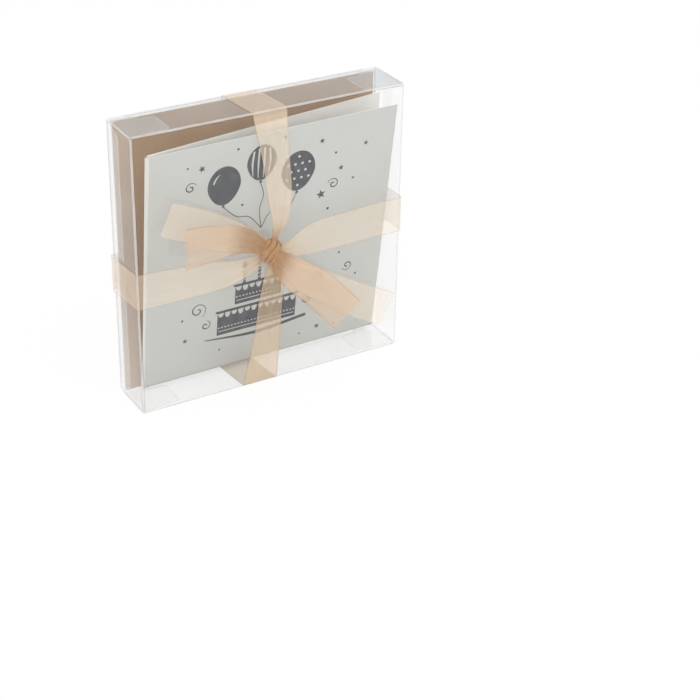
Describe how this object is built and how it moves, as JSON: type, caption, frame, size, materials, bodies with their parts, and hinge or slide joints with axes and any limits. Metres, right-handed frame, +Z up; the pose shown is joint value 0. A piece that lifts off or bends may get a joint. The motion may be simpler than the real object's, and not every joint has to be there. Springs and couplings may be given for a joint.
{
  "type": "clear gift box",
  "caption": "Flat square clear box with a tuck lid at each end, holding a leaning greeting card and its envelope, tied crosswise with a sheer ribbon and a bow.",
  "frame": {"origin": "on the ground under the middle of the box; the ribbon under the base is 0.2 mm thick, so the base panel itself is 0.2 mm up", "axes": "+Z up, -Y out of the front panel that carries the bow, +X to the right seen from the front"},
  "size_m": [0.156, 0.0419, 0.1559],
  "materials": {
    "clear_film": "clear, glossy",
    "kraft_paper": "uncoated brown paper",
    "card_stock": "uncoated pearl grey card",
    "sheer_ribbon": "sheer woven ribbon with a soft sheen"
  },
  "bodies": {
    "box": {"front_panel": "clear_film", "back_panel": "clear_film", "left_side_panel": "clear_film", "right_side_panel": "clear_film", "glue_flap": "clear_film", "envelope_face": "kraft_paper", "envelope_side_flap_left": "kraft_paper", "envelope_side_flap_right": "kraft_paper", "envelope_bottom_flap": "kraft_paper", "envelope_top_flap": "kraft_paper", "ribbon_front_upper": "sheer_ribbon", "ribbon_back_upper": "sheer_ribbon", "ribbon_back_lower": "sheer_ribbon", "ribbon_front_lower": "sheer_ribbon", "ribbon_front_left": "sheer_ribbon", "ribbon_left_side": "sheer_ribbon", "ribbon_back_across": "sheer_ribbon", "ribbon_right_side": "sheer_ribbon", "ribbon_front_right": "sheer_ribbon", "bow_knot": "sheer_ribbon", "bow_left_loop": "sheer_ribbon", "bow_right_loop": "sheer_ribbon", "bow_left_tail": "sheer_ribbon", "bow_right_tail": "sheer_ribbon"},
    "top_lid": {"top_lid": "clear_film", "ribbon_over_lid": "sheer_ribbon"},
    "top_tuck_flap": {"top_tuck_flap": "clear_film"},
    "top_dust_flap_left": {"top_dust_flap_left": "clear_film"},
    "top_dust_flap_right": {"top_dust_flap_right": "clear_film"},
    "bottom_lid": {"bottom_lid": "clear_film", "ribbon_under_base": "sheer_ribbon"},
    "bottom_tuck_flap": {"bottom_tuck_flap": "clear_film"},
    "bottom_dust_flap_left": {"bottom_dust_flap_left": "clear_film"},
    "bottom_dust_flap_right": {"bottom_dust_flap_right": "clear_film"},
    "card": {"card_front_leaf": "card_stock", "card_back_leaf": "card_stock"}
  },
  "joints": [
    {"name": "top_lid_hinge", "type": "hinge", "parent": "box", "child": "top_lid", "pos_m": [0, -0.01415, 0.15555], "axis": [1, 0, 0], "range_deg": [0, 110], "deforming": ["ribbon_back_upper"]},
    {"name": "top_tuck_hinge", "type": "hinge", "parent": "top_lid", "child": "top_tuck_flap", "pos_m": [0, 0.01325, 0.15555], "axis": [1, 0, 0], "range_deg": [-71.5, 0]},
    {"name": "top_dust_left_hinge", "type": "hinge", "parent": "box", "child": "top_dust_flap_left", "pos_m": [-0.0776, 0, 0.1551], "axis": [0, -1, 0], "range_deg": [0, 15.4]},
    {"name": "top_dust_right_hinge", "type": "hinge", "parent": "box", "child": "top_dust_flap_right", "pos_m": [0.0776, 0, 0.1551], "axis": [0, 1, 0], "range_deg": [0, 15.4]},
    {"name": "bottom_lid_hinge", "type": "hinge", "parent": "box", "child": "bottom_lid", "pos_m": [0, -0.01415, 0.00035], "axis": [-1, 0, 0], "range_deg": [0, 110], "deforming": ["ribbon_back_lower"]},
    {"name": "bottom_tuck_hinge", "type": "hinge", "parent": "bottom_lid", "child": "bottom_tuck_flap", "pos_m": [0, 0.01325, 0.00035], "axis": [-1, 0, 0], "range_deg": [-71.5, 0]},
    {"name": "bottom_dust_left_hinge", "type": "hinge", "parent": "box", "child": "bottom_dust_flap_left", "pos_m": [-0.0776, 0, 0.0008], "axis": [0, 1, 0], "range_deg": [0, 15.4]},
    {"name": "bottom_dust_right_hinge", "type": "hinge", "parent": "box", "child": "bottom_dust_flap_right", "pos_m": [0.0776, 0, 0.0008], "axis": [0, -1, 0], "range_deg": [0, 15.4]},
    {"name": "card_lift", "type": "slide", "parent": "box", "child": "card", "axis": [0, 0, 1], "range_m": [0, 0.009]}
  ],
  "couplings": [
    {"joint": "top_tuck_hinge", "follows": "top_lid_hinge", "ratio": -0.65},
    {"joint": "bottom_tuck_hinge", "follows": "bottom_lid_hinge", "ratio": -0.65},
    {"joint": "top_dust_left_hinge", "follows": "top_lid_hinge", "ratio": 0.14},
    {"joint": "top_dust_right_hinge", "follows": "top_lid_hinge", "ratio": 0.14},
    {"joint": "bottom_dust_left_hinge", "follows": "bottom_lid_hinge", "ratio": 0.14},
    {"joint": "bottom_dust_right_hinge", "follows": "bottom_lid_hinge", "ratio": 0.14}
  ]
}
